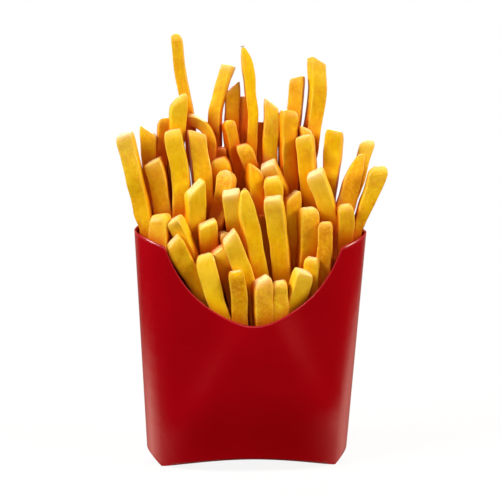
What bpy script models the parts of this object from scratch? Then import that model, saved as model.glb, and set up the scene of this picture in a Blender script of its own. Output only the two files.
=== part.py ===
"""French fries heaped in a folded paperboard carton.

Metres, +Z up.  The carton stands on two feet at z = 0, its scooped front faces -Y and its
higher back panel faces +Y.  The fries are one solid: a core inside the carton with every
fry that shows fused to it.
"""
import math
import random

import bmesh
import bpy
import numpy as np
from mathutils import Vector

MM = 0.001

# Carton: a tapered sleeve of board, flatter at the rim than at the foot
CORNER_HEIGHT = 0.100
CORNER_HALF_WIDTH = 0.049
CORNER_HALF_DEPTH = 0.022
CORNER_FLATNESS = 3.3
FOOT_HALF_WIDTH = 0.0432
FOOT_HALF_DEPTH = 0.020
FOOT_FLATNESS = 2.2
BOARD_THICKNESS = 0.0005

# Front rim: two sloping wings and a deep scoop between them (fractions of the half width)
WING_END = 0.7475
WING_DROP = 0.0042
SCOOP_DROP = 0.036
SCOOP_SHARE_OF_CURVE = 0.72
SCOOP_CURVE_POWER = 1.8
SCOOP_END_POWER = 8

# Back rim and lower edge
BACK_RISE = 0.013
ARCH_RISE = 0.006
FOOT_INNER_END = 0.80
FOOT_OUTER_END = 0.866
CORNER_CUT = 0.0054

# Columns of the carton's mesh, as fractions of the half width
COLUMNS = (0, 0.10, 0.20, 0.30, 0.40, 0.50, 0.59, 0.66, 0.71, WING_END,
           FOOT_INNER_END, FOOT_OUTER_END, 0.92, 0.965, 0.99, 1)
WALL_ROWS = 6
FLOOR_ROWS = 4

# Gap kept between the fries and the board
CLEARANCE = 0.0003
RIM_CLEARANCE = 0.0008
CUT_OUTSIDE = 0.006

# Core under the fries that show
CORE_INSET = 0.0014
CORE_FLOOR = 0.008
CORE_BACK_LEVEL = 0.097
CORE_FRONT_DROP = 0.012
CORE_SIDE_END = 0.95
FRY_ROOT = 0.007

# The heap is laid out as it looks from this point in front of and above the carton
VIEWPOINT = Vector((-0.037, -0.491, 0.178))

# Fries that show, in millimetres as seen from the viewpoint against the plane y = 0:
# tip x, tip z, lower x, lower z, lower depth, lean back, width, slant, end size, bow
FRONT_FRIES = (
    (-19.5, 89.7, -13.2, 66.0, -16, -1, 7.8, 0.10, 0.75, -0.5),
    (-14.2, 92.0, -9.0, 78.8, -8, -2, 7.2, 0.20, 0.80, 0.3),
    (-9.5, 97.6, 0.3, 70.7, -12, -2, 7.4, 0.50, 0.85, 0.4),
    (-6.3, 82.4, -3.8, 61.1, -17, -1, 6.8, 0.00, 0.80, 0.3),
    (4.8, 79.2, 6.1, 61.1, -17, 0, 8.0, 0.40, 0.80, 0.0),
    (12.7, 78.2, 13.6, 62.0, -17, -1, 6.8, 0.10, 0.70, 0.2),
    (22.5, 82.5, 19.0, 67.7, -16, 0, 8.0, -0.10, 0.85, 0.0),
    (26.0, 88.1, 27.0, 74.2, -11, -1, 6.3, -0.20, 0.80, 0.2),
    (-11.8, 99.2, -9.6, 90.0, -5, -1, 5.1, 0.00, 0.70, 0.0),
    (-32.8, 95.6, -16.9, 69.8, -15, 1, 8.0, 0.40, 0.80, -0.8),
    (-37.8, 106.7, -37.8, 97.3, -8, -1, 8.2, 0.15, 0.75, 0.0),
    (-32.6, 104.4, -26.4, 91.9, -9, -2, 6.8, 0.10, 0.85, 0.3),
    (31.4, 103.7, 31.7, 84.4, -9, 0, 6.4, 0.00, 0.70, 0.4),
    (39.9, 111.2, 40.1, 98.1, -3, -1, 6.6, 0.10, 0.70, 0.0),
)
MIDDLE_FRIES = (
    (-23.8, 118.2, -23.2, 100.8, -3, -1, 8.0, 0.90, 0.90, 0.0),
    (-18.6, 103.2, -18.0, 91.4, -6, -2, 8.0, 0.35, 0.90, 0.0),
    (-2.6, 117.7, 3.9, 81.6, -5, -3, 7.6, 0.00, 0.30, -0.6),
    (8.9, 114.0, 14.1, 79.9, -5, -2, 8.0, 0.00, 0.90, 0.2),
    (4.2, 106.5, 7.5, 87.2, 0, 0, 5.1, 0.00, 0.80, 0.0),
    (24.0, 109.6, 23.9, 87.3, -3, -1, 8.1, 0.00, 0.75, 0.5),
    (-53.2, 140.3, -45.2, 104.5, 3, 2, 7.0, 0.10, 0.85, 0.4),
    (-10.2, 125.0, -14.2, 103.4, 3, 1, 7.6, -0.20, 0.55, 0.6),
    (-8.6, 116.4, -6.7, 101.7, 1, -5, 8.0, 0.05, 0.90, 0.0),
    (8.5, 122.4, 9.3, 112.0, 4, -2, 8.4, 0.00, 0.70, 0.3),
    (16.7, 115.3, 16.9, 103.6, 2, 0, 7.0, 0.60, 0.90, 0.0),
    (26.7, 125.0, 33.2, 105.8, 4, -7, 8.0, 0.10, 0.90, 0.2),
    (53.7, 127.8, 46.4, 101.0, 1, 1, 8.0, 0.30, 0.55, 0.4),
)
BACK_FRIES = (
    (-33.1, 141.8, -29.2, 104.6, 8, 2, 7.8, 0.00, 0.85, 1.2),
    (-23.5, 141.0, -19.5, 108.0, 8, 2, 8.5, -0.45, 0.90, 0.3),
    (-41.3, 129.0, -36.6, 107.9, 7, 1, 8.0, 0.15, 0.88, 0.6),
    (-14.0, 130.4, -11.2, 114.0, 10, -1, 8.5, -0.15, 0.70, 1.0),
    (1.2, 126.6, 2.4, 108.0, 8, 0, 6.8, -0.70, 0.90, 0.0),
    (6.5, 128.4, 12.0, 116.3, 9, -5, 7.6, 0.05, 0.90, 0.0),
    (21.5, 140.0, 26.2, 106.6, 9, 1, 7.5, 0.05, 0.90, 0.3),
    (34.5, 142.4, 32.0, 113.0, 9, 2, 7.3, -0.10, 0.90, -0.2),
    (45.6, 132.8, 39.6, 111.0, 7, 1, 8.0, 0.60, 0.35, 0.0),
    (-30.2, 155.8, -31.4, 138.0, 13, 3, 6.8, 0.80, 0.60, 0.0),
    (-36.7, 146.7, -37.5, 132.0, 13, 3, 5.5, 0.20, 0.60, 0.0),
    (-43.0, 141.8, -42.1, 125.0, 10, 2, 6.8, -0.75, 0.90, 0.0),
    (-27.6, 146.6, -17.6, 130.0, 14, 2, 4.6, 0.00, 0.80, 5.0),
    (14.9, 150.6, 15.4, 112.9, 13, 3, 7.2, -0.10, 0.75, -0.2),
    (21.8, 143.5, 23.3, 130.0, 14, 1, 5.4, -0.50, 0.80, 0.0),
    (49.0, 138.6, 42.5, 115.3, 12, 3, 5.9, 0.20, 0.65, 0.3),
    (-4.6, 136.0, 3.0, 118.0, 13, 0, 6.8, -0.20, 0.75, 0.0),
    (-10.0, 146.0, -7.2, 130.0, 15, 1, 5.5, 0.10, 0.60, 0.0),
    (-12.6, 135.0, -12.0, 120.0, 15, -2, 5.0, 0.00, 0.85, 0.0),
    (-32.5, 180.9, -26.9, 146.0, 17, 6, 4.9, 0.00, 0.55, 0.2),
    (-10.4, 168.6, -15.8, 136.0, 17, 6, 5.4, 0.20, 0.95, -1.8),
    (-8.9, 159.6, -8.2, 138.0, 18, 5, 6.8, 0.95, 0.90, -0.2),
    (-4.7, 176.4, -0.3, 136.0, 18, 6, 5.0, 0.00, 0.20, 1.6),
    (-4.0, 155.9, -3.6, 138.0, 19, 4, 4.4, 0.00, 0.80, 0.0),
    (7.6, 153.4, 7.4, 130.0, 17, 4, 7.0, -0.72, 0.90, 0.0),
    (3.0, 145.4, 3.2, 130.0, 18, 3, 4.4, 0.00, 0.85, 0.0),
    (18.3, 164.0, 15.8, 140.0, 18, 5, 6.6, 0.30, 0.90, 0.3),
    (26.4, 171.0, 24.2, 138.0, 17, 6, 7.0, -0.53, 0.95, 0.7),
)

# Further fries at the back and sides, seen only from behind, set out by a rule
FURTHER_COUNT = 16
FURTHER_SEED = 11
FURTHER_WIDTH = (6.2, 8.2)
FURTHER_HEIGHT = (2, 20)
FURTHER_HALF_SPREAD = 40
FURTHER_FRONT_DEPTH = 13
FURTHER_BACK_DEPTH = 21

# Shape of one fry
EDGE_ROUNDING = 0.22
POINTED_END = 0.5
BLUNT_TIP_LENGTH = 0.45
POINTED_TIP_LENGTH = 1.8
TWIST_DEGREES = 12
BENT_FROM = 1.0
STRAIGHT_CUTS = 1
BENT_CUTS = 3

# Sliding the fries apart in depth
SETTLE_ROUNDS = 60
SETTLE_SAMPLES = 9
SETTLE_STEP = 0.3
SETTLE_TIGHTNESS = 0.92
LEAN_LIMIT = 0.16
LEAN_OUT = 0.45

RED = (0.245, 0.002, 0.004, 1)
GOLD = (0.80, 0.46, 0.045, 1)


def empty_scene():
    for item in list(bpy.data.objects):
        bpy.data.objects.remove(item)


def new_collection(name):
    collection = bpy.data.collections.new(name)
    bpy.context.scene.collection.children.link(collection)
    return collection


def new_material(name, colour, roughness):
    material = bpy.data.materials.new(name)
    material.use_nodes = True
    shader = material.node_tree.nodes["Principled BSDF"]
    shader.inputs["Base Color"].default_value = colour
    shader.inputs["Roughness"].default_value = roughness
    shader.inputs["Metallic"].default_value = 0
    material.diffuse_color = colour
    return material


def new_object(name, shape, collection, material=None):
    mesh = bpy.data.meshes.new(name)
    shape.to_mesh(mesh)
    shape.free()
    if material:
        mesh.materials.append(material)
    item = bpy.data.objects.new(name, mesh)
    collection.objects.link(item)
    return item


def blend(start, end, share):
    return start + (end - start) * share


# Outline of the carton

def half_width(z):
    return blend(FOOT_HALF_WIDTH, CORNER_HALF_WIDTH, z / CORNER_HEIGHT)


def half_depth(across, z):
    """Half of the depth between the panels at a fraction `across` of the half width."""
    share = z / CORNER_HEIGHT
    flatness = blend(FOOT_FLATNESS, CORNER_FLATNESS, share)
    middle = blend(FOOT_HALF_DEPTH, CORNER_HALF_DEPTH, share)
    return middle * math.sqrt(max(0, 1 - abs(across) ** flatness))


def front_rim(across):
    across = abs(across)
    wing_inner = CORNER_HEIGHT - WING_DROP
    if across >= WING_END:
        return blend(wing_inner, CORNER_HEIGHT, (across - WING_END) / (1 - WING_END))
    reach = across / WING_END
    curve = SCOOP_SHARE_OF_CURVE * reach ** SCOOP_CURVE_POWER
    end = (1 - SCOOP_SHARE_OF_CURVE) * reach ** SCOOP_END_POWER
    scoop_depth = SCOOP_DROP - WING_DROP
    return wing_inner - scoop_depth * (1 - curve - end)


def back_rim(across):
    return CORNER_HEIGHT + BACK_RISE * (1 - across * across)


def lower_edge(across):
    across = abs(across)
    if across < FOOT_INNER_END:
        return ARCH_RISE * (1 - (across / FOOT_INNER_END) ** 2)
    if across <= FOOT_OUTER_END:
        return 0
    return CORNER_CUT * (across - FOOT_OUTER_END) / (1 - FOOT_OUTER_END)


def column_fraction(index):
    """Fraction of the half width of a mesh column, counted from the middle to either side."""
    return math.copysign(COLUMNS[abs(index)], index)


def wall_sheet(extra_height):
    """The panels as one open sheet that runs once round the carton."""
    last = len(COLUMNS) - 1
    around = 4 * last
    sheet = bmesh.new()
    bmesh.ops.create_grid(sheet, x_segments=around, y_segments=WALL_ROWS, size=1)
    for vert in sheet.verts:
        step = round(vert.co.x * 2 * last)
        up = (vert.co.y + 1) / 2
        on_front = abs(step) <= last
        index = step if on_front else int(math.copysign(2 * last - abs(step), step))
        across = column_fraction(index)
        rim = front_rim(across) if on_front else back_rim(across)
        z = blend(lower_edge(across), rim + extra_height, up)
        side = -1 if on_front else 1
        vert.co = (across * half_width(z), side * half_depth(across, z), z)
    return sheet


def add_floor_sheet(sheet):
    """The bottom, straight from the front panel's lower edge to the back panel's."""
    last = len(COLUMNS) - 1
    floor = bmesh.ops.create_grid(sheet, x_segments=2 * last, y_segments=FLOOR_ROWS, size=1)
    for vert in floor["verts"]:
        across = column_fraction(round(vert.co.x * last))
        z = lower_edge(across)
        vert.co = (across * half_width(z), vert.co.y * half_depth(across, z), z)


def carton_sheet(extra_height=0):
    sheet = wall_sheet(extra_height)
    add_floor_sheet(sheet)
    bmesh.ops.remove_doubles(sheet, verts=sheet.verts, dist=0.00001)
    bmesh.ops.dissolve_degenerate(sheet, edges=sheet.edges, dist=0.00001)
    bmesh.ops.recalc_face_normals(sheet, faces=sheet.faces)
    lowest = min(sheet.faces, key=lambda face: face.calc_center_median().z)
    if lowest.normal.z > 0:
        bmesh.ops.reverse_faces(sheet, faces=sheet.faces)
    return sheet


def add_solidify(item, thickness, offset):
    solidify = item.modifiers.new("board", 'SOLIDIFY')
    solidify.thickness = thickness
    solidify.offset = offset
    solidify.use_even_offset = True


# Places of the fries

class Fry:
    """One fry: a bowed bar from its tip to its lower end, which is rooted in the core."""

    def __init__(self, row, random_draws):
        tip_x, tip_z, low_x, low_z, low_depth, lean, width, slant, end_size, bow = row
        self.tip = np.array((tip_x, tip_z)) * MM
        self.low = np.array((low_x, low_z)) * MM
        self.low_depth = low_depth * MM
        self.tip_depth = (low_depth + lean) * MM
        self.width = width * MM
        self.thickness = self.width * random_draws.uniform(0.86, 1)
        self.slant = slant
        self.end_size = end_size
        self.twist = math.radians(random_draws.uniform(-TWIST_DEGREES, TWIST_DEGREES))
        self.bent = abs(bow) >= BENT_FROM
        along = self.low - self.tip
        sideways = np.array((-along[1], along[0])) / np.hypot(*along)
        self.middle = (self.tip + self.low) / 2 + sideways * 2 * bow * MM

    def line_point(self, share):
        """Centre at a share of the way from the tip to the lower end, or straight on past it."""
        past = max(0, share - 1)
        share = min(share, 1)
        rest = 1 - share
        flat = self.tip * rest ** 2 + self.middle * 2 * rest * share + self.low * share ** 2
        flat = flat + (self.low - self.middle) * 2 * past
        return seen(flat[0], flat[1], blend(self.tip_depth, self.low_depth, share + past))

    def point(self, share):
        """Centre as above, pressed in where the line would run into the board."""
        place = self.line_point(share)
        room = depth_room(place, self.width)
        place.y = min(max(place.y, -room), room)
        return place

    def tuck_in(self, shares):
        """Shift the whole fry towards the middle until the board no longer bends it."""
        inward = [self.point(share).y - self.line_point(share).y for share in shares]
        shift = max(inward, key=abs)
        self.tip_depth += shift
        self.low_depth += shift

    def root_share(self):
        """Share of the way at which the fry ends inside the core."""
        share = 1
        while self.point(share).z > core_level(*self.point(share).xy) - FRY_ROOT:
            share += 0.05
        return share


def seen(x, z, depth):
    """Slide a point of the plane y = 0 along its line of sight to the given depth."""
    stretch = (depth - VIEWPOINT.y) / -VIEWPOINT.y
    return VIEWPOINT + (Vector((x, 0, z)) - VIEWPOINT) * stretch


def depth_room(place, width):
    """How far from the middle plane a fry's centre may lie, more above the rim than below."""
    across = min(abs(place.x) / half_width(place.z), CORE_SIDE_END)
    edge = width / 2 / CORNER_HALF_WIDTH
    rim = front_rim(min(across + edge, 1)) if place.y < 0 else back_rim(max(across - edge, 0))
    inside = half_depth(across, min(place.z, rim)) - BOARD_THICKNESS - CLEARANCE - width / 2
    return inside + LEAN_OUT * max(place.z - rim, 0)


def core_level(x, y):
    """Height of the core's top, low behind the scoop and high along the back panel."""
    across = min(abs(x) / CORNER_HALF_WIDTH, 1)
    front = front_rim(across) - CORE_FRONT_DROP
    share = min(max((y / CORNER_HALF_DEPTH + 1) / 2, 0), 1)
    return blend(front, CORE_BACK_LEVEL, share)


def further_rows():
    """Rows like the chosen ones for the fries that fill the back and the sides."""
    draws = random.Random(FURTHER_SEED)
    rows = []
    for index in range(FURTHER_COUNT):
        spread = 2 * (index + 0.5) / FURTHER_COUNT - 1
        x = spread * FURTHER_HALF_SPREAD
        drop = 14 * spread * spread
        tip_z = CORNER_HEIGHT / MM + draws.uniform(*FURTHER_HEIGHT) - drop
        depth = draws.uniform(FURTHER_FRONT_DEPTH, FURTHER_BACK_DEPTH)
        low_x = x * draws.uniform(0.75, 0.95)
        lean = draws.uniform(0, 4)
        width = draws.uniform(*FURTHER_WIDTH)
        slant = draws.uniform(-0.6, 0.6)
        end_size = draws.uniform(0.6, 0.9)
        rows.append((x, tip_z, low_x, tip_z - 20, depth, lean, width, slant, end_size, 0))
    return rows


def settle(fries):
    """Slide the fries apart along the line of sight, so that the picture stays the same."""
    shares = np.linspace(0, 1, SETTLE_SAMPLES)
    owner = np.repeat(np.arange(len(fries)), SETTLE_SAMPLES)
    order = np.array([blend(fry.tip_depth, fry.low_depth, s) for fry in fries for s in shares])
    order = order + owner * 1e-6
    behind = np.sign(order[:, None] - order[None, :])
    radius = np.array([(fry.width + fry.thickness) / 4 for fry in fries])[owner]
    needed = (radius[:, None] + radius[None, :]) * SETTLE_TIGHTNESS
    needed[owner[:, None] == owner[None, :]] = 0
    for _ in range(SETTLE_ROUNDS):
        centres = np.array([fry.point(s) for fry in fries for s in shares])
        apart = np.linalg.norm(centres[:, None] - centres[None, :], axis=2)
        crossing = np.maximum(needed - apart, 0)
        push = (crossing * behind).sum(axis=1).reshape(len(fries), -1)
        hits = np.maximum((crossing > 0).sum(axis=1).reshape(len(fries), -1).max(axis=1), 1)
        tip_push = (push * (1 - shares)).sum(axis=1) / hits * SETTLE_STEP
        low_push = (push * shares).sum(axis=1) / hits * SETTLE_STEP
        for fry, tip_move, low_move in zip(fries, tip_push, low_push):
            fry.low_depth += float(low_move)
            lean = fry.tip_depth + float(tip_move) - fry.low_depth
            limit = LEAN_LIMIT * float(fry.tip[1] - fry.low[1])
            fry.tip_depth = fry.low_depth + min(max(lean, -limit), limit)
            fry.tuck_in(shares)


# Solid shapes of the core and the fries

def core_shape():
    """Closed block that fills the carton up to the level under the fries."""
    block = bmesh.new()
    bmesh.ops.create_cube(block, size=2)
    cuts = {0: 11, 1: 5, 2: 3}
    for axis, count in cuts.items():
        for index in range(1, count + 1):
            place = [0, 0, 0]
            place[axis] = 2 * index / (count + 1) - 1
            normal = [0, 0, 0]
            normal[axis] = 1
            everything = list(block.verts) + list(block.edges) + list(block.faces)
            bmesh.ops.bisect_plane(block, geom=everything, plane_co=place, plane_no=normal)
    for vert in block.verts:
        across = vert.co.x * CORE_SIDE_END
        side = vert.co.y
        up = (vert.co.z + 1) / 2
        level = core_level(across * CORNER_HALF_WIDTH, side * CORNER_HALF_DEPTH)
        z = blend(CORE_FLOOR, level, up)
        x = across * (half_width(z) - CORE_INSET)
        y = side * (half_depth(across, z) - CORE_INSET)
        vert.co = (x, y, z)
    bmesh.ops.recalc_face_normals(block, faces=block.faces)
    return block


def long_edges(bar):
    return [edge for edge in bar.edges if abs(edge.verts[0].co.z - edge.verts[1].co.z) > 0.5]


def fry_shape(fry):
    """A square bar with its long edges bevelled, bent along the fry and cut off at its tip."""
    end_share = fry.root_share()
    length = (fry.point(end_share) - fry.point(0)).length
    pointed = fry.end_size < POINTED_END
    tip_length = fry.width * (POINTED_TIP_LENGTH if pointed else BLUNT_TIP_LENGTH)
    tip_share = tip_length / length
    bar = bmesh.new()
    bmesh.ops.create_cube(bar, size=1)
    bmesh.ops.bevel(bar, geom=long_edges(bar), offset=EDGE_ROUNDING, segments=1,
                    affect='EDGES', profile=0.5, material=-1)
    cuts = BENT_CUTS if fry.bent else STRAIGHT_CUTS
    levels = [tip_share] + [blend(tip_share, 1, (cut + 1) / (cuts + 1)) for cut in range(cuts)]
    for level in levels:
        everything = list(bar.verts) + list(bar.edges) + list(bar.faces)
        bmesh.ops.bisect_plane(bar, geom=everything, plane_co=(0, 0, 0.5 - level),
                               plane_no=(0, 0, 1))
    for vert in bar.verts:
        place_on_fry(vert, fry, end_share, tip_share)
    bmesh.ops.recalc_face_normals(bar, faces=bar.faces)
    return bar


def place_on_fry(vert, fry, end_share, tip_share):
    way = 0.5 - vert.co.z
    share = way * end_share
    centre = fry.point(share)
    step = 0.02
    upwards = (fry.point(max(share - step, 0)) - fry.point(share + step)).normalized()
    sideways = Vector((math.cos(fry.twist), math.sin(fry.twist), 0))
    sideways = (sideways - upwards * sideways.dot(upwards)).normalized()
    backwards = upwards.cross(sideways)
    size = blend(fry.end_size, 1, min(way / tip_share, 1))
    across = vert.co.x * fry.width * size
    through = vert.co.y * fry.thickness * size
    rise = fry.slant * across if way < tip_share / 2 else 0
    vert.co = centre + sideways * across + backwards * through + upwards * rise


def add_boolean(item, operation, solver):
    boolean = item.modifiers.new(operation.lower(), 'BOOLEAN')
    boolean.operation = operation
    boolean.solver = solver
    return boolean


def apply_modifiers(item):
    depsgraph = bpy.context.evaluated_depsgraph_get()
    mesh = bpy.data.meshes.new_from_object(item.evaluated_get(depsgraph))
    item.modifiers.clear()
    item.data = mesh


def keep_largest_body(item):
    """Drop loose scraps and sealed hollows, which are separate shells of the same mesh."""
    shape = bmesh.new()
    shape.from_mesh(item.data)
    unseen = set(shape.verts)
    bodies = []
    while unseen:
        body = [unseen.pop()]
        for vert in body:
            for edge in vert.link_edges:
                other = edge.other_vert(vert)
                if other in unseen:
                    unseen.remove(other)
                    body.append(other)
        bodies.append(body)
    bodies.sort(key=len)
    for body in bodies[:-1]:
        bmesh.ops.delete(shape, geom=body, context='VERTS')
    shape.to_mesh(item.data)
    shape.free()


def build_carton(collection):
    material = new_material("red_board", RED, 0.38)
    carton = new_object("carton", carton_sheet(), collection, material)
    add_solidify(carton, BOARD_THICKNESS, -1)
    carton.data.shade_smooth()
    carton.data.set_sharp_from_angle(angle=math.radians(30))
    return carton


def build_fries(collection):
    draws = random.Random(FURTHER_SEED)
    rows = FRONT_FRIES + MIDDLE_FRIES + BACK_FRIES + tuple(further_rows())
    fries = [Fry(row, draws) for row in rows]
    settle(fries)

    loose = new_collection("loose fries")
    for index, fry in enumerate(fries):
        new_object(f"fry_{index:02d}", fry_shape(fry), loose)
    material = new_material("fried_potato", GOLD, 0.5)
    heap = new_object("fries", core_shape(), collection, material)
    union = add_boolean(heap, 'UNION', 'EXACT')
    union.operand_type = 'COLLECTION'
    union.collection = loose
    apply_modifiers(heap)
    for item in list(loose.objects):
        bpy.data.objects.remove(item)
    bpy.data.collections.remove(loose)
    keep_largest_body(heap)
    return heap


def clear_of_board(heap, cutters):
    """Trim off whatever lies in the board or close to it, and whatever hangs outside it."""
    cutter = new_object("board_cutter", carton_sheet(RIM_CLEARANCE), cutters)
    thickness = CUT_OUTSIDE + BOARD_THICKNESS + CLEARANCE
    add_solidify(cutter, thickness, 2 * CUT_OUTSIDE / thickness - 1)
    cutter.hide_render = True
    cutter.display_type = 'WIRE'
    difference = add_boolean(heap, 'DIFFERENCE', 'EXACT')
    difference.object = cutter
    apply_modifiers(heap)
    keep_largest_body(heap)
    bpy.data.objects.remove(cutter)


def centre_on_origin(items):
    """Put the middle of the whole over the origin, standing on z = 0."""
    corners = np.array([tuple(vert.co) for item in items for vert in item.data.vertices])
    low = corners.min(axis=0)
    high = corners.max(axis=0)
    middle = Vector((low + high) / 2)
    for item in items:
        item.location = (-middle.x, -middle.y, -low[2])


def main():
    empty_scene()
    parts = new_collection("french fries in a carton")
    cutters = new_collection("cutters")
    carton = build_carton(parts)
    heap = build_fries(parts)
    clear_of_board(heap, cutters)
    heap.data.shade_smooth()
    heap.data.set_sharp_from_angle(angle=math.radians(30))
    centre_on_origin((carton, heap))


main()
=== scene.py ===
"""French fries heaped in a red folded carton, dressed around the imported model."""
import math
import random

import bmesh
import bpy
import numpy as np
from mathutils import Matrix, Vector, noise


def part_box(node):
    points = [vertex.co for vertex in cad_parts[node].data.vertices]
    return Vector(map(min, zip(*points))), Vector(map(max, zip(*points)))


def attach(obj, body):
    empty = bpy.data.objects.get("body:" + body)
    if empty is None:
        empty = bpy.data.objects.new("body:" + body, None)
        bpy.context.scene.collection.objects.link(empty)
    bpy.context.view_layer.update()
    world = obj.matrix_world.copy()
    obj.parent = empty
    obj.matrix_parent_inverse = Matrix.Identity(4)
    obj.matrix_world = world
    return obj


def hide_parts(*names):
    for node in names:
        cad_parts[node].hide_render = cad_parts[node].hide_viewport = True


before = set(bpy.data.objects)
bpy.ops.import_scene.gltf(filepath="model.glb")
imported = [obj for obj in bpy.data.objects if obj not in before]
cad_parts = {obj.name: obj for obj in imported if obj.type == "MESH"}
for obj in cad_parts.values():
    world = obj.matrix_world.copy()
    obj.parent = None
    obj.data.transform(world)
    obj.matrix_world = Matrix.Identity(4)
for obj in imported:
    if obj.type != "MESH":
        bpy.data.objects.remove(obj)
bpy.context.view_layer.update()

# The carton
# One blank of thin coated board, printed red all over, folded along its two sides and closed
# by a bottom flap whose curved creases arch the lower edge and stand it on two corners. The
# front is die-cut in a deep scoop, and the higher back rises in a low arch.
carton_low, carton_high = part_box("carton")
CORNER_HEIGHT = 0.100
BACK_RISE = carton_high.z - CORNER_HEIGHT
CORNER_HALF_WIDTH = (carton_high.x - carton_low.x) / 2
CORNER_HALF_DEPTH = 0.022
CORNER_FLATNESS = 3.3
FOOT_HALF_WIDTH = 0.0432
FOOT_HALF_DEPTH = 0.020
FOOT_FLATNESS = 2.2
BOARD_THICKNESS = 0.0005

WING_END = 0.7475
WING_DROP = 0.0042
SCOOP_DROP = 0.036
SCOOP_SHARE_OF_CURVE = 0.72
SCOOP_CURVE_POWER = 1.8
SCOOP_END_POWER = 8

ARCH_RISE = 0.006
FOOT_INNER_END = 0.85
FOOT_OUTER_END = 0.866
CORNER_CUT = 0.0054

# Columns between one middle of a panel and the next side fold, and rows up the panel; then the
# shares of those columns at which the wing and the two corners of the foot lie
QUARTER_COLUMNS = 44
WALL_ROWS = 72
FLOOR_ROWS = 16
WING_COLUMN = 0.66
FOOT_INNER_COLUMN = 0.72
FOOT_OUTER_COLUMN = 0.80
WELD_DISTANCE = 0.00001
FOLD_ANGLE = math.radians(35)

# The full carton bellies out below two soft diagonal shoulders, which fall to both sides from
# a point a little right of the middle. Its board has slight waves, which grow quickly above
# the foot. Both fade out towards the side folds.
BELLY_HEIGHT = 0.0025
BELLY_SHOULDER = 0.0065
BELLY_MIDDLE = 0.004
BELLY_TOP = 0.081
BELLY_FALL = 1.75
BELLY_FOOT = 0.036
WAVE_HEIGHT = 0.0003
WAVE_LENGTH = 0.030
WAVE_FLATNESS = 0.7
WAVE_GROWTH = 6
OTHER_PANEL_SHIFT = 5
SIDE_FADE_POWER = 4
WEAR_WIDTH = 0.0006

RED_BOARD = (0.42, 0.0004, 0.0062, 1)
DEEP_RED_BOARD = (0.37, 0.0003, 0.0046, 1)
WORN_RED_BOARD = (0.44, 0.005, 0.008, 1)
CUT_BOARD = (0.32, 0.004, 0.006, 1)
FIBRE_LENGTH = 0.0007
SCUFF_LENGTH = 0.0045
DENT_LENGTH = 0.006
CLOUD_LENGTH = 0.022
CUT_FIBRE_LENGTH = 0.0009


class Wire:
    """A shader value that can be added, subtracted and multiplied as a number is."""

    def __init__(self, tree, socket):
        self.tree = tree
        self.socket = socket

    def combine(self, operation, *values):
        node = self.tree.nodes.new("ShaderNodeMath")
        node.operation = operation
        for socket, value in zip(node.inputs, values):
            join(self.tree, socket, value)
        return Wire(self.tree, node.outputs[0])

    def __add__(self, other):
        return self.combine('ADD', self, other)

    def __radd__(self, other):
        return self.combine('ADD', other, self)

    def __sub__(self, other):
        return self.combine('SUBTRACT', self, other)

    def __rsub__(self, other):
        return self.combine('SUBTRACT', other, self)

    def __mul__(self, other):
        return self.combine('MULTIPLY', self, other)

    def __rmul__(self, other):
        return self.combine('MULTIPLY', other, self)

    def clamped(self):
        return self.combine('MINIMUM', self.combine('MAXIMUM', self, 0), 1)


def join(tree, socket, value):
    """Link a wire to a socket, or set the socket to a plain value."""
    if isinstance(value, Wire):
        tree.links.new(value.socket, socket)
    else:
        socket.default_value = value


class Finish:
    """The nodes of one material, or of the studio round the carton."""

    def __init__(self, owner):
        owner.use_nodes = True
        self.owner = owner
        self.tree = owner.node_tree

    def add(self, kind, settings, values, output=0):
        """Any node: its settings are set first, then its sockets' values or links."""
        node = self.tree.nodes.new("ShaderNode" + kind)
        for name, setting in settings.items():
            setattr(node, name, setting)
        for name, value in values.items():
            join(self.tree, node.inputs[name], value)
        return Wire(self.tree, node.outputs[output])

    def place(self):
        return self.add("TexCoord", {}, {}, output="Object")

    def attribute(self, name, output="Fac"):
        return self.add("Attribute", {"attribute_name": name}, {}, output=output)

    def grain(self, place, size, detail=2, roughness=0.5):
        """Smooth noise from 0 to 1, about `size` metres from one patch to the next."""
        sizes = {"Vector": place, "Scale": 1 / size, "Detail": detail, "Roughness": roughness}
        return self.add("TexNoise", {}, sizes)

    def step(self, value, start, end):
        """0 below `start`, 1 above `end`, and smooth between them."""
        ends = {"Value": value, "From Min": start, "From Max": end}
        return self.add("MapRange", {"interpolation_type": 'SMOOTHSTEP'}, ends)

    def mix(self, share, first, second):
        """The first colour where the share is 0 and the second where it is 1."""
        return self.add("Mix", {"data_type": 'RGBA'}, {0: share, 6: first, 7: second}, output=2)

    def bump(self, height, distance, strength, below=None):
        values = {"Height": height, "Distance": distance, "Strength": strength}
        if below:
            values["Normal"] = below
        return self.add("Bump", {}, values)

    def feed(self, **sockets):
        """Feed the shader's own sockets, named with _ for each space."""
        shader = self.tree.nodes["Principled BSDF"]
        for name, value in sockets.items():
            join(self.tree, shader.inputs[name.replace("_", " ")], value)
        return self.owner


def blend(start, end, share):
    return start + (end - start) * share


def smooth(share):
    """From 0 to 1, level at both ends."""
    share = min(max(share, 0), 1)
    return share * share * (3 - 2 * share)


def half_width(z):
    return blend(FOOT_HALF_WIDTH, CORNER_HALF_WIDTH, z / CORNER_HEIGHT)


def half_depth(across, z):
    """Half of the depth between the panels at a fraction `across` of the half width."""
    share = z / CORNER_HEIGHT
    flatness = blend(FOOT_FLATNESS, CORNER_FLATNESS, share)
    middle = blend(FOOT_HALF_DEPTH, CORNER_HALF_DEPTH, share)
    return middle * math.sqrt(max(0, 1 - abs(across) ** flatness))


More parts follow.
